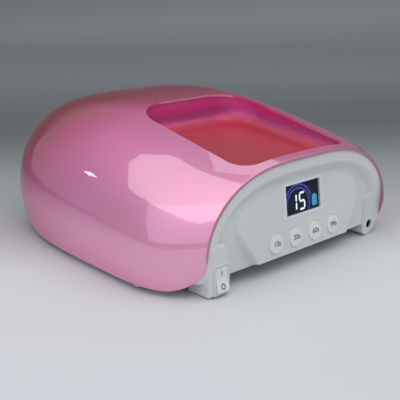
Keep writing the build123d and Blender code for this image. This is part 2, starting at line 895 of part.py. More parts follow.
slope_rise = tunnel_height - tunnel_wall_z
board_y = rear_y + (tunnel_rear + tunnel_front) / 2
board_planes = {
    "top": Plane(origin=(0, board_y, tunnel_height), x_dir=(1, 0, 0), z_dir=(0, 0, -1)),
}
for name, side in (("left", -1), ("right", 1)):
    board_planes[name] = Plane(
        origin=(
            side * (tunnel_half_width + tunnel_top_half) / 2,
            board_y,
            (tunnel_height + tunnel_wall_z) / 2,
        ),
        x_dir=(side * tunnel_slope_run, 0, -slope_rise),
        z_dir=(-side * slope_rise, 0, -tunnel_slope_run),
    )
led_grids = {
    "top": GridLocations(top_led_column_pitch, led_row_pitch, top_led_columns, top_led_rows),
    "left": GridLocations(0, led_row_pitch, 1, side_led_rows),
    "right": GridLocations(0, led_row_pitch, 1, side_led_rows),
}
board_widths = {"top": top_board_width, "left": side_board_width, "right": side_board_width}
sensor_plane = Plane(
    origin=(0, rear_y + sensor_from_rear, tunnel_height), x_dir=(1, 0, 0), z_dir=(0, 0, -1)
)

with BuildPart() as reflector_vault:
    extrude(tunnel_outline(tunnel_sheet, tunnel_rear), amount=tunnel_rear - tunnel_front)
    extrude(
        tunnel_outline(0, tunnel_rear + tunnel_sheet),
        amount=tunnel_rear - tunnel_front,
        mode=Mode.SUBTRACT,
    )
    for side in (-1, 1):
        inner = side * (tunnel_half_width + tunnel_sheet / 2)
        outer = side * (tunnel_half_width + tunnel_flange)
        block(
            min(inner, outer), max(inner, outer), rear_y + tunnel_rear, rear_y + tunnel_front,
            rail_top_z, rail_top_z + tunnel_sheet,
        )
    block(
        -tunnel_half_width, tunnel_half_width, rear_y + tunnel_rear - overshoot,
        rear_y + tunnel_rear + tunnel_sheet, 0, field_bottom_z, mode=Mode.SUBTRACT,
    )
    for name, plane in board_planes.items():
        with BuildSketch(plane.offset(-2 * tunnel_sheet)):
            with led_grids[name]:
                Circle(led_hole_radius)
        extrude(amount=3 * tunnel_sheet, mode=Mode.SUBTRACT)
    with BuildSketch(sensor_plane.offset(-2 * tunnel_sheet)):
        with GridLocations(sensor_pitch, 0, 2, 1):
            Circle(sensor_lens_radius + fit_gap)
    extrude(amount=3 * tunnel_sheet, mode=Mode.SUBTRACT)
save(reflector_vault, "reflector_vault")

for name, plane in board_planes.items():
    with BuildPart() as led_board:
        with BuildSketch(plane.offset(-tunnel_sheet)):
            Rectangle(board_widths[name], led_board_length)
        extrude(amount=-led_board_thickness)
    save(led_board, f"led_board_{name}")
    with BuildPart() as led_beads:
        with BuildSketch(plane.offset(-tunnel_sheet)):
            with led_grids[name]:
                Circle(led_radius)
        extrude(amount=led_height)
        facing = Axis((0, 0, 0), plane.z_dir)
        lenses = led_beads.faces().filter_by(facing).group_by(facing)[-1]
        chamfer(lenses.edges(), led_lens_chamfer)
    save(led_beads, f"led_beads_{name}")

with BuildPart() as hand_sensor:
    with BuildSketch(sensor_plane.offset(-tunnel_sheet)):
        Rectangle(sensor_board_length, sensor_board_width)
    extrude(amount=-led_board_thickness)
    with BuildSketch(sensor_plane.offset(-tunnel_sheet)):
        with GridLocations(sensor_pitch, 0, 2, 1):
            Circle(sensor_lens_radius)
    extrude(amount=led_height)
save(hand_sensor, "hand_sensor")


# Front frame: fills the hood's front arch round the hand opening
frame_rear_y = rear_y + tunnel_front
with BuildPart() as front_frame:
    block(
        -lamp_span / 2, lamp_span / 2, frame_rear_y, frame_rear_y + frame_sheet,
        0, case_depth,
    )
    extrude(tunnel_outline(opening_lip, tunnel_front + frame_sheet), amount=-opening_lip_depth)
    add(fit_space, mode=Mode.INTERSECT)
    extrude(
        tunnel_outline(0, tunnel_front - overshoot),
        amount=tunnel_front - overshoot - case_depth,
        mode=Mode.SUBTRACT,
    )
save(front_frame, "front_frame")


# Base frame: side rails under the hood, and the deck that closes the rear compartment
deck_z = field_bottom_z + fit_gap
deck_top_z = deck_z + deck_sheet
driver_y = rear_y + driver_from_rear
deck_post_x = driver_board_width / 2 - 2 * rail_post_radius
web_x = leg_inner + deck_sheet
with BuildPart() as base_frame:
    add(fit_space)
    block(
        -lamp_span / 2, lamp_span / 2, rear_y + leg_depth + fit_gap, frame_rear_y,
        hood_bottom_z, rail_top_z, mode=Mode.INTERSECT,
    )
    block(
        -tunnel_half_width - tunnel_sheet, tunnel_half_width + tunnel_sheet,
        rear_y + tunnel_rear, front_y, 0, case_depth, mode=Mode.SUBTRACT,
    )
    block(
        -web_x, web_x, rear_y, rear_y + tunnel_rear + overshoot, 0, case_depth, mode=Mode.SUBTRACT,
    )
    for side in (-1, 1):
        near = side * web_x
        far = side * (web_x + deck_sheet)
        block(
            min(near, far), max(near, far), rear_y + leg_depth + fit_gap, rear_y + tunnel_rear,
            hood_bottom_z, deck_top_z,
        )
    block(
        -web_x, web_x, rear_y + leg_depth + fit_gap, rear_y + tunnel_rear, deck_z, deck_top_z
    )
    block(
        -leg_inner + fit_gap, leg_inner - fit_gap, recess_back_y + fit_gap,
        rear_y + leg_depth + overshoot, deck_z, deck_top_z,
    )
    with BuildSketch(Plane.XY.offset(deck_top_z)):
        with Locations((-deck_post_x, driver_y), (deck_post_x, driver_y)):
            Circle(rail_post_radius)
    extrude(amount=driver_board_height)
    with BuildSketch(Plane.XY.offset(hood_bottom_z)):
        with Locations(*boss_spots):
            Circle(screw_radius + 2 * running_gap)
    extrude(amount=rail_sheet, mode=Mode.SUBTRACT)
save(base_frame, "base_frame")

with BuildPart() as base_screws:
    with BuildSketch(Plane.XY.offset(hood_bottom_z)):
        with Locations(*boss_spots):
            Circle(screw_head_radius)
    extrude(amount=-screw_head_height)
    with BuildSketch(Plane.XY.offset(hood_bottom_z)):
        with Locations(*boss_spots):
            Circle(screw_radius)
    extrude(amount=screw_length)
save(base_screws, "base_screws")

front_foot_x = (
    tunnel_half_width + tunnel_sheet + foot_half_width_at(front_foot_from_rear) - shell_wall
) / 2
front_foot_y = rear_y + front_foot_from_rear
with BuildPart() as rubber_feet:
    for radius, height, spots in (
        (rear_foot_radius, leg_clear_z + foot_sink, (rear_foot_x, rear_foot_y)),
        (front_foot_radius, hood_bottom_z, (front_foot_x, front_foot_y)),
    ):
        with BuildSketch(Plane.XY):
            with Locations(spots, (-spots[0], spots[1])):
                Circle(radius)
        extrude(amount=height)
    fillet(rubber_feet.faces().group_by(Axis.Z)[0].edges(), foot_round)
save(rubber_feet, "rubber_feet")


# Battery: two cells in a holder at each side
cell_y = rear_y + cell_rear
lower_cell_z = rail_top_z + holder_sheet + cell_radius
cell_step = 2 * cell_radius + cell_gap
upper_cell_z = lower_cell_z + (cell_step ** 2 - (lower_cell_x - upper_cell_x) ** 2) ** 0.5
cell_spots = [
    (side * x, z)
    for side in (-1, 1)
    for x, z in ((lower_cell_x, lower_cell_z), (upper_cell_x, upper_cell_z))
]
with BuildPart() as battery_cells:
    with BuildSketch(upright(cell_y)):
        with Locations(*cell_spots):
            Circle(cell_radius)
    extrude(amount=-cell_length)
    ends = battery_cells.faces().filter_by(GeomType.PLANE)
    chamfer(ends.edges(), cell_end_chamfer)
save(battery_cells, "battery_cells")

for name, side in (("left", -1), ("right", 1)):
    with BuildPart() as battery_holder:
        near = side * (tunnel_half_width + tunnel_flange + fit_gap)
        far = near + side * holder_width
        block(
            min(near, far), max(near, far), cell_y - holder_sheet,
            cell_y + cell_length + holder_sheet, rail_top_z, rail_top_z + holder_height,
        )
        block(
            min(near, far) - overshoot, max(near, far) + overshoot, cell_y, cell_y + cell_length,
            rail_top_z + holder_sheet, case_depth, mode=Mode.SUBTRACT,
        )
    save(battery_holder, f"battery_holder_{name}")


# Driver board on the deck's posts, with its coils
driver_z = deck_top_z + driver_board_height
with BuildPart() as driver_board:
    with BuildSketch(Plane.XY.offset(driver_z)):
        with Locations((0, driver_y)):
            Rectangle(driver_board_width, driver_board_length)
    extrude(amount=board_thickness)
save(driver_board, "driver_board")

with BuildPart() as driver_coils:
    with BuildSketch(Plane.XY.offset(driver_z + board_thickness)):
        with Locations((0, driver_y)):
            with GridLocations(driver_board_width / 4, 0, coil_count, 1):
                Circle(coil_radius)
                Circle(coil_radius / 3, mode=Mode.SUBTRACT)
    extrude(amount=coil_height)
save(driver_coils, "driver_coils")
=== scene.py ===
# %% [markdown]
# # A nail curing lamp, dressed for its picture
# The lamp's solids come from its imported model, at their real size and place. This lesson gives
# each of them its finish, lights the display, prints the marks on the controls and sets up a
# small studio. It reads nothing but that model.

import json
from math import cos, pi, radians, sin

import bpy
from mathutils import Matrix, Vector


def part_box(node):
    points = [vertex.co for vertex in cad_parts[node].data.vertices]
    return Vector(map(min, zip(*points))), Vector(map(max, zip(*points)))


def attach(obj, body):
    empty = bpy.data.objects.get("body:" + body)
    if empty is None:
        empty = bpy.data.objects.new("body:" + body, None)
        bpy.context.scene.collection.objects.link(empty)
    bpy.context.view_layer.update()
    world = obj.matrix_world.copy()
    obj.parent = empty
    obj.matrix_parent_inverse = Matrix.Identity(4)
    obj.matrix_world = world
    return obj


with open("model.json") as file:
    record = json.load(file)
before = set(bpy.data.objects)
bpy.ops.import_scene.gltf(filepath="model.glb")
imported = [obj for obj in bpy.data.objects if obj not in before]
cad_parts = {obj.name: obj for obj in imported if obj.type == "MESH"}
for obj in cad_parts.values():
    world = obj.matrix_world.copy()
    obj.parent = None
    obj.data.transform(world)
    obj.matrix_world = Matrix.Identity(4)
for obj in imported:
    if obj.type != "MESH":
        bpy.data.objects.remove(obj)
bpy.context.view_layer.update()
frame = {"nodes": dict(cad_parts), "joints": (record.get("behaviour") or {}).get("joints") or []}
nodes = frame["nodes"]
mm = 0.001

# %% [markdown]
# ## The camera
# The picture was taken from the left of the control side, a little above the lamp. Vanishing
# lines give the direction and the focal length, and the distance follows from the lamp's width.
# The camera is placed from the hood's rear edge, so it stays right if the lamp's origin moves.

# %% Place the camera
scene = bpy.context.scene
rear_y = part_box("outer_shell")[0].y
camera_from_rear = Vector((-376.3, -297.1, 190.9)) * mm
camera_down, camera_heading = 17.05, 43.1
lens_mm, sensor_mm, sight_end = 66.6, 36.0, 20

bpy.ops.object.camera_add(
    location=Vector((0, rear_y, 0)) + camera_from_rear,
    rotation=(radians(90 - camera_down), 0, radians(-camera_heading)),
)
camera = bpy.context.object
camera.data.lens = lens_mm
camera.data.sensor_width = sensor_mm
camera.data.clip_end = sight_end
scene.camera = camera
heading = Vector((sin(radians(camera_heading)), cos(radians(camera_heading)), 0))
print("camera at", [round(v, 3) for v in camera.location])

# %% [markdown]
# ## The stage
# A studio hangs a sweep of pale paper: flat under the lamp, then curved up behind it, so that no
# corner shows. It could be a floor and a wall, but their seam would show in the gloss. One plane,
# with its far edge pulled up and the crease bevelled round, gives the whole sweep.


# %% Make the sweep
def deselect():
    """Clear the object selection, because an operator acts on all that is selected."""
    bpy.ops.object.select_all(action="DESELECT")


def only(piece):
    """Select one piece and make it active."""
    deselect()
    piece.select_set(True)
    bpy.context.view_layer.objects.active = piece


def select_parts(piece, kind, wanted):
    """Go into Edit Mode with only the wanted edges or faces selected."""
    only(piece)
    bpy.ops.object.mode_set(mode="EDIT")
    bpy.ops.mesh.select_mode(type=kind)
    bpy.ops.mesh.select_all(action="DESELECT")
    bpy.ops.object.mode_set(mode="OBJECT")
    parts = piece.data.edges if kind == "EDGE" else piece.data.polygons
    for part in parts:
        part.select = wanted(part)
    bpy.ops.object.mode_set(mode="EDIT")


def ends_of(piece, edge):
    """The two end points of an edge."""
    return [piece.data.vertices[i].co for i in edge.vertices]


def at_far_side(point):
    """Whether a point of the sweep lies where the floor ends and the wall stands."""
    return point.dot(heading) > far - mm


sweep_half, sweep_height = 2.2, 2.0
sweep_curve, sweep_curve_faces = 0.9, 24
deselect()
bpy.ops.mesh.primitive_plane_add(
    size=2 * sweep_half, rotation=(0, 0, radians(-camera_heading))
)
sweep = bpy.context.object
sweep.name = "paper_sweep"
bpy.ops.object.transform_apply(location=False, rotation=True, scale=False)
far = max(v.co.dot(heading) for v in sweep.data.vertices)
select_parts(sweep, "EDGE", lambda edge: all(map(at_far_side, ends_of(sweep, edge))))
bpy.ops.mesh.extrude_edges_move(TRANSFORM_OT_translate={"value": (0, 0, sweep_height)})
bpy.ops.object.mode_set(mode="OBJECT")


def is_crease(edge):
    """Whether an edge lies where the floor meets the wall."""
    return all(abs(p.z) < mm and at_far_side(p) for p in ends_of(sweep, edge))


select_parts(sweep, "EDGE", is_crease)
bpy.ops.mesh.bevel(offset=sweep_curve, segments=sweep_curve_faces)
bpy.ops.object.mode_set(mode="OBJECT")
bpy.ops.object.shade_smooth()
print("the sweep has", len(sweep.data.polygons), "faces")

# %% [markdown]
# ### Its tone
# The paper is bright beside the lamp, dark behind it and paler again far away, because the lamps
# stand close to the product. Light alone could do it, but it would also change the lamp. So the
# tone is painted: a ramp runs along the direction in which the camera looks, leans a little to
# one side and goes on up the wall. It reads Object coordinates, so the tone stays on the paper
# when the view moves.


# %% The paper
def link(material, source, target):
    """Join two sockets of a material."""
    material.node_tree.links.new(source, target)


def shader_of(material):
    """The Principled shader of a material."""
    return material.node_tree.nodes["Principled BSDF"]


def new_material(name, colour, roughness, metallic=0.0, **sockets):
    """A Principled material with its plain values set on the shader's own sockets."""
    material = bpy.data.materials.new(name)
    material.use_nodes = True
    shader = shader_of(material)
    shader.inputs["Base Color"].default_value = (*colour, 1)
    shader.inputs["Roughness"].default_value = roughness
    shader.inputs["Metallic"].default_value = metallic
    for socket, value in sockets.items():
        shader.inputs[socket.replace("_", " ")].default_value = value
    return material


# Each tone holds at a distance from the camera, in metres.
paper_tones = (
    (0.30, (0.700, 0.728, 0.752)),
    (0.48, (0.706, 0.724, 0.742)),
    (0.575, (0.494, 0.515, 0.520)),
    (0.70, (0.355, 0.379, 0.388)),
    (0.82, (0.227, 0.246, 0.254)),
    (0.94, (0.163, 0.175, 0.186)),
    (1.08, (0.175, 0.192, 0.202)),
    (1.40, (0.259, 0.285, 0.296)),
    (1.95, (0.305, 0.330, 0.343)),
    (2.20, (0.370, 0.394, 0.407)),
    (2.60, (0.260, 0.275, 0.282)),
    (3.30, (0.260, 0.275, 0.282)),
    (3.70, (0.780, 0.800, 0.800)),
)
paper = new_material("paper", paper_tones[0][1], roughness=0.9, Specular_IOR_Level=0.15)
sweep.data.materials.append(paper)
print("made", paper.name)


# %% Tone the sweep
def add_node(material, kind, **values):
    """A node of one kind, with its properties set."""
    node = material.node_tree.nodes.new("ShaderNode" + kind)
    for key, value in values.items():
        setattr(node, key, value)
    return node


def set_ramp(ramp, stops):
    """Write a colour ramp's stops, each a place and a colour."""
    while len(ramp.elements) > 1:
        ramp.elements.remove(ramp.elements[-1])
    ramp.elements[0].position = stops[0][0]
    ramp.elements[0].color = (*stops[0][1], 1)
    for place, colour in stops[1:]:
        ramp.elements.new(place).color = (*colour, 1)


sweep_span, sweep_rise, sweep_lean = 4.0, 0.5, 0.13
to_the_right = heading.cross(Vector((0, 0, 1)))
run_off = heading - sweep_lean * to_the_right
place = add_node(paper, "TexCoord")
along = add_node(paper, "VectorMath", operation="DOT_PRODUCT")
along.inputs[1].default_value = (run_off + Vector((0, 0, sweep_rise))) / sweep_span
shift = add_node(paper, "Math", operation="SUBTRACT")
shift.inputs[1].default_value = camera.location.dot(run_off) / sweep_span
tone = add_node(paper, "ValToRGB")
set_ramp(tone.color_ramp, [(reach / sweep_span, colour) for reach, colour in paper_tones])
link(paper, place.outputs["Object"], along.inputs[0])
link(paper, along.outputs["Value"], shift.inputs[0])
link(paper, shift.outputs[0], tone.inputs["Fac"])
link(paper, tone.outputs["Color"], shader_of(paper).inputs["Base Color"])
print("paper toned over", sweep_span, "m")

# %% [markdown]
# ## Light
# One long soft box hangs level over the lamp, a little to the left. Its clear outline shows in the
# lacquer of the hood's shoulder, and its turn puts its far corner where the picture has it. A
# window far to the left gives the short glint. Three large, dim boxes fill the side, the top and
# the far edge: small strong ones would show in the gloss as white patches. The grey room and the
# paper do the rest.


# %% Hang the lamps
def soft_box(name, centre, target, size, power, colour=(1, 1, 1)):
    """A rectangular area lamp that faces a target."""
    deselect()
    bpy.ops.object.light_add(type="AREA", location=centre)
    lamp = bpy.context.object
    lamp.name = name
    lamp.data.shape = "RECTANGLE"
    lamp.data.size, lamp.data.size_y = size
    lamp.data.energy = power
    lamp.data.color = colour
    aim = Vector(target) - Vector(centre)
    lamp.rotation_euler = aim.to_track_quat("-Z", "Y").to_euler()
    return lamp


# An area lamp's radiance is its power over four times its area.
box_x, box_y, box_height = -0.551, -0.236, 1.0
box_size, box_turn = (1.03, 1.90), 161.4
box_radiance = 0.66
ceiling_box = soft_box(
    "ceiling_box", centre=(box_x, box_y, box_height), target=(box_x, box_y, 0),
    size=box_size, power=box_radiance * 4 * box_size[0] * box_size[1],
)
ceiling_box.rotation_euler = (0, 0, radians(box_turn))
soft_box(
    "glint_window", centre=(-0.86, 1.09, 0.83), target=(-0.1, 0, 0.06),
    size=(0.05, 0.09), power=0.07,
)
soft_box(
    "side_fill", centre=(-1.9, -1.0, 1.5), target=(-0.05, -0.05, 0.03),
    size=(4.8, 2.8), power=20.0, colour=(0.92, 0.86, 1.0),
)
soft_box(
    "high_fill", centre=(0.7, -1.0, 1.9), target=(0, 0, 0.05),
    size=(2.0, 1.6), power=14.0,
)
soft_box(
    "edge_strip", centre=(0.91, 0.48, 1.23), target=(0, 0, 0.05),
    size=(0.6, 0.9), power=0.9,
)

# %% The room
room_tone, room_strength = (0.96, 0.99, 1.0), 0.32
world = bpy.data.worlds.new("studio_room")
scene.world = world
world.use_nodes = True
room = world.node_tree.nodes["Background"]
room.inputs["Color"].default_value = (*room_tone, 1)
room.inputs["Strength"].default_value = room_strength
scene.view_settings.view_transform = "Standard"
print("room at", room_strength)

# %% [markdown]
# ## Moulded plastic
# Injection-moulded plastic is never quite flat: the tool leaves a fine grain, and the colour and
# the gloss drift a little where the melt flowed. A picture of such a surface would do, but it has
# to be stretched over each piece. Noise needs no stretching. Most of the lamp's materials use
# both effects, so they are one shader group: a fine noise for the height, a broad one for the
# drift.


# %% The grain group
def new_group(name, inputs, outputs):
    """A shader group with number inputs and number outputs."""
    group = bpy.data.node_groups.new(name, "ShaderNodeTree")
    for label, value in inputs:
        socket = group.interface.new_socket(
            label, in_out="INPUT", socket_type="NodeSocketFloat"
        )
        socket.default_value = value
    for label in outputs:
        group.interface.new_socket(label, in_out="OUTPUT", socket_type="NodeSocketFloat")
    start = group.nodes.new("NodeGroupInput")
    end = group.nodes.new("NodeGroupOutput")
    return group, start, end


fine_scale, broad_scale = 2500.0, 18.0
fine_detail, broad_detail = 2.0, 3.0
grain_group, grain_in, grain_out = new_group(
    "moulded_grain",
    inputs=(("Grain Scale", fine_scale), ("Drift Scale", broad_scale)),
    outputs=("Height", "Drift"),
)
spot = grain_group.nodes.new("ShaderNodeTexCoord")
for socket, output, detail in (
    ("Grain Scale", "Height", fine_detail),
    ("Drift Scale", "Drift", broad_detail),
):
    noise = grain_group.nodes.new("ShaderNodeTexNoise")
    noise.inputs["Detail"].default_value = detail
    grain_group.links.new(spot.outputs["Object"], noise.inputs["Vector"])
    grain_group.links.new(grain_in.outputs[socket], noise.inputs["Scale"])
    grain_group.links.new(noise.outputs["Fac"], grain_out.inputs[output])
print("groups:", [g.name for g in bpy.data.node_groups])

# %% A moulded finish
grain_node = "grain"
grain_depth = 0.1 * mm
drift_low, drift_high = 0.3, 0.7


def grained(name, colour, roughness, grain=fine_scale, relief=0.02, drift=0.03, **sockets):
    """A finish with a fine grain in its surface and a slight drift in its gloss."""
    material = new_material(name, colour, roughness, **sockets)
    texture = add_node(material, "Group", node_tree=grain_group, name=grain_node)
    texture.inputs["Grain Scale"].default_value = grain
    bump = add_node(material, "Bump")
    bump.inputs["Strength"].default_value = relief
    bump.inputs["Distance"].default_value = grain_depth
    link(material, texture.outputs["Height"], bump.inputs["Height"])
    link(material, bump.outputs["Normal"], shader_of(material).inputs["Normal"])
    gloss = add_node(material, "MapRange")
    gloss.inputs["To Min"].default_value = roughness * (1 - 2 * drift)
    gloss.inputs["To Max"].default_value = min(1.0, roughness * (1 + 2 * drift))
    link(material, texture.outputs["Drift"], gloss.inputs["Value"])
    link(material, gloss.outputs["Result"], shader_of(material).inputs["Roughness"])
    return material


def moulded(name, colour, roughness, drift=0.03, **values):
    """Plastic whose colour drifts too, a little darker here and lighter there."""
    material = grained(name, colour, roughness, drift=drift, **values)
    texture = material.node_tree.nodes[grain_node]
    tint = add_node(material, "ValToRGB")
    dark = tuple(c * (1 - drift) for c in colour)
    light = tuple(min(1.0, c * (1 + drift)) for c in colour)
    set_ramp(tint.color_ramp, ((drift_low, dark), (drift_high, light)))
    link(material, texture.outputs["Drift"], tint.inputs["Fac"])
    link(material, tint.outputs["Color"], shader_of(material).inputs["Base Color"])
    return material


def dress(material, *names):
    """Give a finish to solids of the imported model."""
    for name in names:
        slots = nodes[name].material_slots
        if not slots:
            nodes[name].data.materials.append(material)
        for slot in slots:
            slot.material = material


panel_plastic = moulded("panel_plastic", (0.69, 0.712, 0.712), roughness=0.42, relief=0.05)
button_plastic = moulded("button_plastic", (0.79, 0.80, 0.80), roughness=0.38, relief=0.04)
dress(panel_plastic, "rear_panel", "front_frame", "base_frame", "rocker_housing")
dress(button_plastic, "rocker_button", *[f"time_button_{i}" for i in range(1, 5)])
print("made", panel_plastic.name, "and", button_plastic.name)

# %% [markdown]
# ## The pearl hood
# The hood is moulded in pink, sprayed with pearl flakes and sealed under clear lacquer. The
# flakes reflect softly and tint what they reflect, so the base is part metal; the lacquer is the
# shader's coat, which gives the sharp outline of the soft box. The spray itself is pink; its turn
# from lilac by the controls to a dark red brown over the top is painted sheen and painted
# reflection, standing in for the pearl's colour shift and the dark backdrop that the top reflects.
# That could follow the angle of view, as on a real pearl, but then it would be lost outside
# Blender. So it runs with the place on the hood, from low at the rear to high at the front.


# %% A colour that runs along a piece
def blend_along(material, direction, start, stops):
    """Let the base colour run along a direction: each stop is a distance and a colour."""
    span = stops[-1][0]
    spot = add_node(material, "TexCoord")
    along = add_node(material, "VectorMath", operation="DOT_PRODUCT")
    along.inputs[1].default_value = direction
    reach = add_node(material, "MapRange")
    reach.inputs["From Min"].default_value = start
    reach.inputs["From Max"].default_value = start + span
    run = add_node(material, "ValToRGB")
    set_ramp(run.color_ramp, [(place / span, colour) for place, colour in stops])
    link(material, spot.outputs["Object"], along.inputs[0])
    link(material, along.outputs["Value"], reach.inputs["Value"])
    link(material, reach.outputs["Result"], run.inputs["Fac"])
    link(material, run.outputs["Color"], shader_of(material).inputs["Base Color"])


# Painted sheen and painted reflection: lilac pink at the rear, dark red brown over the top.
painted_sheen_direction = (0.12, 1, 1)
pink_and_painted_sheen_stops = (
    (0 * mm, (0.93, 0.35, 0.58)),
    (120 * mm, (0.87, 0.27, 0.55)),
    (185 * mm, (0.79, 0.17, 0.44)),
    (215 * mm, (0.68, 0.092, 0.28)),
    (250 * mm, (0.46, 0.05, 0.105)),
    (300 * mm, (0.40, 0.05, 0.06)),
)
pearl = grained(
    "pearl_lacquer", pink_and_painted_sheen_stops[0][1], roughness=0.42, grain=900.0, relief=0.012,
    metallic=0.5, Coat_Weight=1.0, Coat_Roughness=0.03, Coat_IOR=2.5,
    Specular_Tint=(1.0, 0.20, 0.10, 1.0),
)
blend_along(pearl, painted_sheen_direction, rear_y, pink_and_painted_sheen_stops)
dress(pearl, "outer_shell")
print("pearl sprayed over", round(pink_and_painted_sheen_stops[-1][0] / mm), "mm")

# %% [markdown]
# The hood's wall shows its thickness along the rear edge. That narrow face is painted a darker
# rose, as painted shade in the gap by the panel, and it draws a thin line round the pale panel. A
# strip of mesh could carry the colour, but the face is already there, and nothing else of the hood
# lies so near to the rear. So a mask along Y finds it.


# %% The hood's rear edge
def paint_edge_shade(material, start, width, colour):
    """Paint shade on a piece's end: full at the start along Y, gone after the width."""
    base_colour = shader_of(material).inputs["Base Color"]
    body_run = base_colour.links[0].from_socket
    spot = add_node(material, "TexCoord")
    parts = add_node(material, "SeparateXYZ")
    reach = add_node(material, "MapRange")
    reach.inputs["From Min"].default_value = start
    reach.inputs["From Max"].default_value = start + width
    mix = add_node(material, "Mix", data_type="RGBA")
    mix.inputs["A"].default_value = (*colour, 1)
    link(material, spot.outputs["Object"], parts.inputs[0])
    link(material, parts.outputs["Y"], reach.inputs["Value"])
    link(material, reach.outputs["Result"], mix.inputs["Factor"])
    link(material, body_run, mix.inputs["B"])
    link(material, mix.outputs["Result"], base_colour)


# Painted shade: a darker rose on the hood's rear end face.
edge_shade_width, edge_shade_colour = 0.5 * mm, (0.48, 0.13, 0.25)
paint_edge_shade(pearl, rear_y, edge_shade_width, edge_shade_colour)
print("rear edge toned over", round(edge_shade_width / mm, 1), "mm")

# %% [markdown]
# ## The handle tub
# The well in the top is a darker, redder pink with a softer gloss. In the picture its floor is
# red, the foot of its walls is in shade, and the walls turn pink towards the mouth. The shade is
# too soft to come from the lamps alone, so the colour runs with the height over the floor. The
# floor slopes, and so does the direction of the run.

# %% Dress the tub
floor_low, floor_high, floor_length = 64.0 * mm, 78.0 * mm, 111.5 * mm
floor_from_rear = 7.5 * mm
floor_rise = (floor_high - floor_low) / floor_length
tub_stops = (
    (0.0 * mm, (0.62, 0.065, 0.095)),
    (1.2 * mm, (0.60, 0.06, 0.095)),
    (4.0 * mm, (0.46, 0.04, 0.15)),
    (8.0 * mm, (0.50, 0.045, 0.22)),
    (13.0 * mm, (0.78, 0.075, 0.36)),
    (26.0 * mm, (0.86, 0.13, 0.44)),
)
tub_gloss = grained(
    "tub_gloss", tub_stops[0][1], roughness=0.45, grain=900.0, relief=0.01, drift=0.05,
    metallic=0.6, Coat_Weight=0.4, Coat_Roughness=0.2,
)
floor_start = floor_low - floor_rise * (rear_y + floor_from_rear)
blend_along(tub_gloss, (0, -floor_rise, 1), floor_start, tub_stops)
dress(tub_gloss, "handle_tub")
print("deep pink in the tub")

# %% [markdown]
# ## Inside, and the hand side
# The tunnel is silvered so that the light reaches all sides of the nails. The diodes are clear
# domes on white boards. Rubber, steel, brass and black moulding finish what is left. All of them
# take the same grain and drift, with their own colour and gloss.

# %% Dress the hand side
silver = moulded(
    "silvered_plastic", (0.80, 0.80, 0.82), roughness=0.16, drift=0.02, metallic=1.0
)
white_board = moulded("white_board", (0.78, 0.78, 0.75), roughness=0.45)
diode_lens = moulded(
    "diode_lens", (0.78, 0.80, 0.86), roughness=0.08, Transmission_Weight=0.55, Coat_Weight=0.5
)
rubber = moulded("foot_rubber", (0.03, 0.03, 0.032), roughness=0.8, relief=0.15, drift=0.1)
dress(silver, "reflector_vault")
dress(white_board, "led_board_top", "led_board_left", "led_board_right")
dress(diode_lens, "led_beads_top", "led_beads_left", "led_beads_right")
dress(rubber, "rubber_feet")
print("tunnel and feet dressed")

# %% Dress the inner pieces
green_board = moulded("green_board", (0.03, 0.14, 0.07), roughness=0.4)
black_plastic = moulded("black_plastic", (0.022, 0.022, 0.024), roughness=0.45, relief=0.06)
steel = moulded("plated_steel", (0.56, 0.56, 0.58), roughness=0.3, drift=0.05, metallic=1.0)
brass = moulded("plated_brass", (0.72, 0.56, 0.28), roughness=0.28, drift=0.05, metallic=1.0)
cell_wrap = moulded("cell_wrap", (0.05, 0.16, 0.36), roughness=0.3)
ferrite = moulded("ferrite", (0.06, 0.06, 0.065), roughness=0.6)
dress(green_board, "control_board", "driver_board")
dress(black_plastic, "tact_switches", "hand_sensor", "dc_socket", "lcd_module")
dress(black_plastic, "battery_holder_left", "battery_holder_right")
dress(black_plastic, *[f"switch_plunger_{i}" for i in range(1, 5)])
dress(steel, "board_screws", "base_screws")
dress(brass, "dc_pin", "rocker_terminals")
dress(cell_wrap, "battery_cells")
dress(ferrite, "driver_coils")
print("inner pieces dressed")

# %% [markdown]
# ## The control field's own axes
# The display and the buttons lie on a field that leans back. A button slides square to that
# field, so the joint's axis gives its normal, and with it a frame in which the display and the
# prints can be drawn flat and then laid down.

# %% Find the field
press = next(j for j in frame["joints"] if j["name"] == "button_1_press")
outward = -Vector(press["axis"]).normalized()
across = Vector((1, 0, 0))
up_field = outward.cross(across)


def middle(name):
    """The middle of a solid's box."""
    low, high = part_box(name)
    return (low + high) / 2


def outer_face(name):
    """How far a solid's outermost face lies along the field's normal."""
    return max(v.co.dot(outward) for v in nodes[name].data.vertices)


def on_field(centre, depth):
    """The matrix that lays a flat drawing on the field, by its middle and its depth."""
    point = centre + outward * (depth - centre.dot(outward))
    axes = Matrix((across, up_field, outward)).transposed().to_4x4()
    return Matrix.Translation(point) @ axes


window_centre = middle("display_window")
picture_depth = outer_face("lcd_module")
window_low, window_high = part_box("display_window")
window_wide = window_high.x - window_low.x
window_tall = (window_high.z - window_low.z) / up_field.z
print("window", round(window_wide / mm, 1), "x", round(window_tall / mm, 1), "mm")

# %% [markdown]
# ## The lit display
# A segment display shows bright bars on black. Each digit has seven bars with pointed ends. One
# bar is modelled: a thin block whose four upright edges are bevelled until they almost meet. The
# others are copies, because the real bars are all alike.

# %% One bar
film = 0.04 * mm
bar_wide, bar_length = 1.38 * mm, 5.1 * mm
bar_point = 0.48 * bar_wide


def is_upright(piece, edge):
    """Whether an edge of a thin plate runs through its thickness."""
    low, high = ends_of(piece, edge)
    return abs(low.z - high.z) > film / 2


def plate(name, centre, wide, high, corner, corner_faces=4):
    """A thin plate with rounded corners, lying flat."""
    deselect()
    bpy.ops.mesh.primitive_cube_add(size=1, location=centre)
    piece = bpy.context.object
    piece.name = name
    piece.scale = (wide, high, film)
    bpy.ops.object.transform_apply(location=True, rotation=False, scale=True)
    select_parts(piece, "EDGE", lambda edge: is_upright(piece, edge))
    bpy.ops.mesh.bevel(offset=corner, segments=corner_faces)
    bpy.ops.object.mode_set(mode="OBJECT")
    return piece


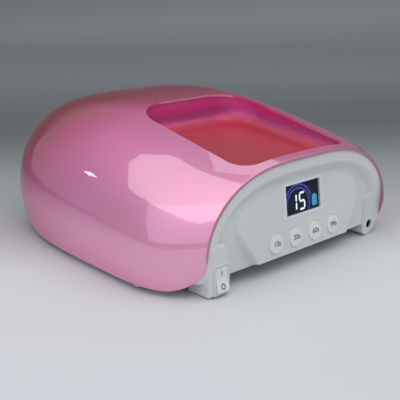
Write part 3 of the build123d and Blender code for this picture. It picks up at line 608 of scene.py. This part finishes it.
bar = plate("segment_bar", (0, 0, 0), bar_wide, bar_length, bar_point, corner_faces=1)
print("one bar has", len(bar.data.polygons), "faces")


# %% Digits from its copies
def copy_of(piece, matrix):
    """A copy with its own mesh, moved by a matrix."""
    twin = piece.copy()
    twin.data = piece.data.copy()
    twin.data.transform(matrix)
    scene.collection.objects.link(twin)
    return twin


def join(name, parts):
    """Join loose parts into one named piece."""
    deselect()
    for part in parts:
        part.select_set(True)
    bpy.context.view_layer.objects.active = parts[0]
    bpy.ops.object.join()
    parts[0].name = name
    parts[0].data.name = name
    return parts[0]


digit_wide, digit_tall = 5.0 * mm, 11.1 * mm
digit_middle_y = -2.7 * mm
digit_centres = (("1", -8.4 * mm), ("5", 0.1 * mm))
bars_of = {
    "1": ("right_low", "right_high"),
    "5": ("top", "left_high", "mid", "right_low", "low"),
}
quarter_turn = Matrix.Rotation(pi / 2, 4, "Z")


def bar_places():
    """Where each bar of a digit lies, from the digit's middle."""
    side, half = digit_wide / 2, digit_tall / 2
    places = {}
    for name, height in (("top", half), ("mid", 0), ("low", -half)):
        places[name] = Matrix.Translation((0, height, 0)) @ quarter_turn
    for name, x in (("left", -side), ("right", side)):
        places[name + "_high"] = Matrix.Translation((x, half / 2, 0))
        places[name + "_low"] = Matrix.Translation((x, -half / 2, 0))
    return places


places = bar_places()
lit_bars = []
for character, x in digit_centres:
    to_digit = Matrix.Translation((x, digit_middle_y, 0))
    for name in bars_of[character]:
        lit_bars.append(copy_of(bar, to_digit @ places[name]))
bpy.data.objects.remove(bar)
digits = join("display_digits", lit_bars)
print("digits use", len(lit_bars), "bars")

# %% [markdown]
# Two rings run round the digits, cut off by the edges of the window and short of the battery
# sign. A curve with a bevel could be the ring, but it would end square to its own line, not along
# the window. A torus, flattened, can be bisected at any plane, and filling the cut keeps it
# closed.

# %% The rings
ring_centre = (-4.2 * mm, -5.2 * mm)
ring_radii = (14.3 * mm, 11.8 * mm)
ring_line = 0.28 * mm
window_margin = 0.5 * mm
battery_clear_x = 9.3 * mm


def trim(piece, point, normal):
    """Cut away what lies beyond a plane, and close the cut."""
    only(piece)
    bpy.ops.object.mode_set(mode="EDIT")
    bpy.ops.mesh.select_all(action="SELECT")
    bpy.ops.mesh.bisect(plane_co=point, plane_no=normal, use_fill=True, clear_outer=True)
    bpy.ops.object.mode_set(mode="OBJECT")


rings = []
for radius in ring_radii:
    deselect()
    bpy.ops.mesh.primitive_torus_add(
        location=(*ring_centre, 0), major_radius=radius, minor_radius=ring_line,
        major_segments=96, minor_segments=8,
    )
    ring = bpy.context.object
    ring.scale.z = film / (2 * ring_line)
    bpy.ops.object.transform_apply(location=True, rotation=False, scale=True)
    trim(ring, (0, window_margin - window_tall / 2, 0), (0, -1, 0))
    trim(ring, (window_margin - window_wide / 2, 0, 0), (-1, 0, 0))
    trim(ring, (battery_clear_x, 0, 0), (1, 0, 0))
    rings.append(ring)
rings = join("display_rings", rings)
print("rings of", [round(r / mm, 1) for r in ring_radii], "mm")

# %% [markdown]
# The battery sign is a rounded frame with four bars in it and a nub on top. The frame is a plate
# whose two faces are inset, and whose inner loops are then bridged through the plate, so it stays
# closed. The bars and the nub are plates, and so is the dark ground behind all the signs.

# %% The battery sign
battery_middle = Vector((13.1, -4.7, 0)) * mm
battery_wide, battery_high, battery_corner = 5.0 * mm, 7.4 * mm, 0.9 * mm
battery_line = 0.38 * mm


def is_flat_side(face):
    """Whether a face is the top or the bottom of a plate."""
    return abs(face.normal.z) > 0.9


def hollow(piece, line):
    """Turn a plate into a frame: inset both faces, then bridge the two inner loops."""
    select_parts(piece, "FACE", is_flat_side)
    bpy.ops.mesh.inset(thickness=line, depth=0)
    bpy.ops.mesh.bridge_edge_loops()
    bpy.ops.object.mode_set(mode="OBJECT")
    return piece


case = plate("battery_case", battery_middle, battery_wide, battery_high, battery_corner)
sign = [hollow(case, battery_line)]
nub_middle = battery_middle + Vector((0, battery_high / 2 + battery_line, 0))
nub_wide, nub_corner = battery_wide * 0.45, battery_line * 0.3
sign.append(plate("battery_nub", nub_middle, nub_wide, battery_line, nub_corner))

charge_bars, charge_share, charge_corner = 4, 0.6, 0.2 * mm
charge_high = battery_high - 3 * battery_line
charge_wide = battery_wide - 3.4 * battery_line
charge_step = charge_high / charge_bars
for i in range(charge_bars):
    rise = ((i + 0.5) / charge_bars - 0.5) * charge_high
    centre = battery_middle + Vector((0, rise, 0))
    bar_size = (charge_wide, charge_step * charge_share)
    sign.append(plate("battery_bar", centre, *bar_size, charge_corner))
battery = join("display_battery", sign)
print("battery sign of", len(sign), "plates")

# %% The dark ground
ground_inset, ground_corner = 0.4 * mm, 0.3 * mm
ground = plate(
    "display_ground", (0, 0, 0), window_wide - ground_inset, window_tall - ground_inset,
    ground_corner,
)
print("ground of", round((window_wide - ground_inset) / mm, 1), "mm")

# %% [markdown]
# ### Lit colours
# What shines in the display is emission, so the colour written is the colour seen. Lamps behind
# a coloured film would be truer, but they would only add noise to so small a sign. The ground is
# nearly black, with a navy band between the two rings: its ramp reads the distance from the
# rings' centre.


# %% Light the display
def lit_material(name, colour, strength):
    """A dark surface that shines by itself."""
    return new_material(
        name, (0.01, 0.01, 0.015), roughness=0.3, Specular_IOR_Level=0.05,
        Emission_Color=(*colour, 1), Emission_Strength=strength,
    )


white_light = lit_material("lit_white", (0.78, 0.94, 1.0), 1.15)
blue_light = lit_material("lit_blue", (0.13, 0.13, 0.60), 1.0)
cyan_light = lit_material("lit_cyan", (0.09, 0.58, 0.78), 0.95)
glow_stops = (
    (10.5 * mm, (0.002, 0.004, 0.009)),
    (11.9 * mm, (0.004, 0.006, 0.070)),
    (13.9 * mm, (0.004, 0.006, 0.085)),
    (14.7 * mm, (0.002, 0.005, 0.009)),
)
glow_reach = 30 * mm
ground_light = lit_material("lit_ground", glow_stops[0][1], 1.0)
spot = add_node(ground_light, "TexCoord")
centred = add_node(ground_light, "Mapping", vector_type="POINT")
ring_point = on_field(window_centre, picture_depth) @ Vector((*ring_centre, 0))
centred.inputs["Location"].default_value = -ring_point
distance = add_node(ground_light, "VectorMath", operation="LENGTH")
share = add_node(ground_light, "Math", operation="MULTIPLY")
share.inputs[1].default_value = 1 / glow_reach
glow = add_node(ground_light, "ValToRGB")
set_ramp(glow.color_ramp, [(reach / glow_reach, colour) for reach, colour in glow_stops])
link(ground_light, spot.outputs["Object"], centred.inputs["Vector"])
link(ground_light, centred.outputs["Vector"], distance.inputs[0])
link(ground_light, distance.outputs["Value"], share.inputs[0])
link(ground_light, share.outputs[0], glow.inputs["Fac"])
link(ground_light, glow.outputs["Color"], shader_of(ground_light).inputs["Emission Color"])
print("lit:", [m.name for m in (white_light, blue_light, cyan_light, ground_light)])

# %% [markdown]
# The signs lie in three layers on the display's face, each a few hundredths of a millimetre
# above the last, so that no two faces in view share a plane. They ride with the housing, as the
# display does. The pane over them is clear, and the border round it shines a little: a faint
# emission in its finish, painted light.

# %% Lay the signs down
ground_lift, line_lift, digit_lift = 0.02 * mm, 0.05 * mm, 0.07 * mm
for piece, material, lift in (
    (ground, ground_light, ground_lift),
    (rings, blue_light, line_lift),
    (battery, cyan_light, line_lift),
    (digits, white_light, digit_lift),
):
    piece.data.transform(on_field(window_centre, picture_depth + lift))
    piece.data.materials.clear()
    piece.data.materials.append(material)
    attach(piece, "housing")

window_glass = new_material(
    "window_glass", (0.9, 0.93, 0.96), roughness=0.03, Transmission_Weight=1.0, IOR=1.12
)
# Painted light: a faint glow in the border's finish.
border_plastic_painted_glow = moulded(
    "border_plastic_painted_glow", (0.68, 0.69, 0.75), roughness=0.3,
    Emission_Color=(0.66, 0.64, 0.80, 1), Emission_Strength=0.08,
)
dress(window_glass, "display_window")
dress(border_plastic_painted_glow, "display_frame")
print("display lit")

# %% [markdown]
# ## Printed marks
# The marks on the buttons and the rocker are pad-printed ink, so they follow the surface. They
# could be a mask in the button's material, but a mark with a crisp edge is easier as a mesh. Each
# is drawn flat in front of its button, cut into small triangles, projected back onto the surface
# with a Shrinkwrap, and given the thickness of a film of ink.

# %% Pad printing
ink = moulded("grey_ink", (0.03, 0.032, 0.038), roughness=0.5, relief=0.03, drift=0.1)
ink_film, ink_lift = 0.03 * mm, 0.02 * mm


def print_on(piece, target, matrix, body):
    """Lay a flat drawing on a solid as a film of ink that follows its surface."""
    piece.data.transform(matrix)
    only(piece)
    bpy.ops.object.mode_set(mode="EDIT")
    bpy.ops.mesh.select_all(action="SELECT")
    bpy.ops.mesh.quads_convert_to_tris()
    bpy.ops.mesh.subdivide(number_cuts=2)
    bpy.ops.object.mode_set(mode="OBJECT")
    laid = piece.modifiers.new("project", "SHRINKWRAP")
    laid.target = nodes[target]
    laid.wrap_method = "PROJECT"
    laid.use_project_y = True
    laid.use_positive_direction = True
    laid.wrap_mode = "ABOVE_SURFACE"
    laid.offset = ink_lift + ink_film
    bpy.ops.object.modifier_apply(modifier=laid.name)
    thick = piece.modifiers.new("film", "SOLIDIFY")
    thick.thickness = ink_film
    thick.offset = -1
    bpy.ops.object.modifier_apply(modifier=thick.name)
    piece.data.materials.clear()
    piece.data.materials.append(ink)
    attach(piece, body)


print("ink film of", round(ink_film / mm, 2), "mm")

# %% [markdown]
# Each button carries the seconds that it sets, as plain numbers.


# %% The buttons' numbers
def lettering(name, text, height, weight):
    """Flat lettering as a mesh, its middle at the origin."""
    deselect()
    bpy.ops.object.text_add()
    piece = bpy.context.object
    piece.name = name
    piece.data.body = text
    piece.data.size = height
    piece.data.offset = weight
    piece.data.align_x = "CENTER"
    piece.data.align_y = "CENTER"
    bpy.ops.object.convert(target="MESH")
    piece = bpy.context.object
    piece.name = name
    return piece


button_marks = ("10s", "30s", "60s", "99s")
number_height, number_weight = 5.2 * mm, 0.05 * mm
print_clear = 3 * mm
for i, mark in enumerate(button_marks, start=1):
    name = f"time_button_{i}"
    number = lettering(f"button_number_{i}", mark, number_height, number_weight)
    face = on_field(middle(name), outer_face(name) + print_clear)
    print_on(number, name, face, f"button_{i}")
print("printed", button_marks)

# %% [markdown]
# The rocker carries the usual pair: a bar for on at the top, a ring for off at the bottom. The
# bar is a narrow plane; the ring is a filled circle, inset, with its middle deleted.

# %% The rocker's marks
rocker_middle = middle("rocker_button")
rocker_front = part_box("rocker_button")[0].y
mark_up, mark_down = 4.3 * mm, -4.2 * mm
bar_mark_size = (0.75 * mm, 3.0 * mm)
ring_mark_radius, ring_mark_line = 1.8 * mm, 0.68 * mm


def facing_rear(height):
    """The matrix that stands a flat drawing in front of the rocker, at a height on it."""
    point = Vector((rocker_middle.x, rocker_front - print_clear, rocker_middle.z + height))
    return Matrix.Translation(point) @ Matrix.Rotation(pi / 2, 4, "X")


deselect()
bpy.ops.mesh.primitive_plane_add(size=1)
on_mark = bpy.context.object
on_mark.name = "rocker_mark_on"
on_mark.scale = (*bar_mark_size, 1)
bpy.ops.object.transform_apply(location=False, rotation=False, scale=True)
print_on(on_mark, "rocker_button", facing_rear(mark_up), "rocker")

deselect()
bpy.ops.mesh.primitive_circle_add(vertices=40, radius=ring_mark_radius, fill_type="NGON")
off_mark = bpy.context.object
off_mark.name = "rocker_mark_off"
bpy.ops.object.mode_set(mode="EDIT")
bpy.ops.mesh.select_all(action="SELECT")
bpy.ops.mesh.inset(thickness=ring_mark_line, depth=0)
bpy.ops.mesh.delete(type="FACE")
bpy.ops.object.mode_set(mode="OBJECT")
print_on(off_mark, "rocker_button", facing_rear(mark_down), "rocker")
print("rocker marked")
